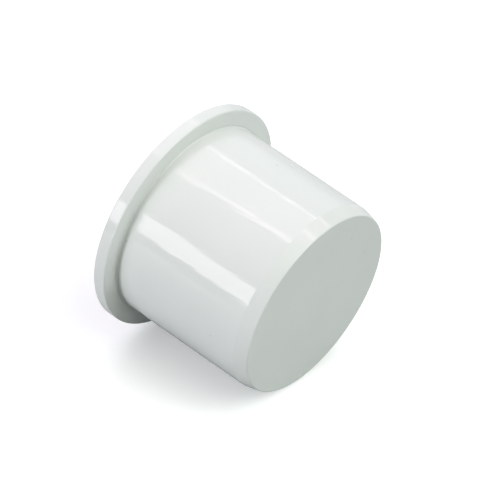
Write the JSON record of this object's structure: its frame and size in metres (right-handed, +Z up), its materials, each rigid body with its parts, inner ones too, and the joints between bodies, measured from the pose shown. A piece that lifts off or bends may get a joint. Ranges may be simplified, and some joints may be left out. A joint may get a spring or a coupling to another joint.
{
  "type": "pipe cap",
  "caption": "Flanged push-fit cap that plugs the open socket of a plastic waste pipe: a hollow tapered-end spigot, closed at one end, with a stop flange.",
  "frame": {"origin": "on the cap's axis, in the plane of the seat face, which is the flange's front face", "axes": "+X along the axis from the flange to the closed end, +Z up when the pipe runs level, +Y completes a right-handed frame"},
  "size_m": [0.035, 0.0482, 0.0482],
  "materials": {
    "white_plastic": "gloss"
  },
  "bodies": {
    "root": {"flange_ring": "white_plastic", "spigot_barrel": "white_plastic", "end_plate": "white_plastic"}
  },
  "joints": []
}
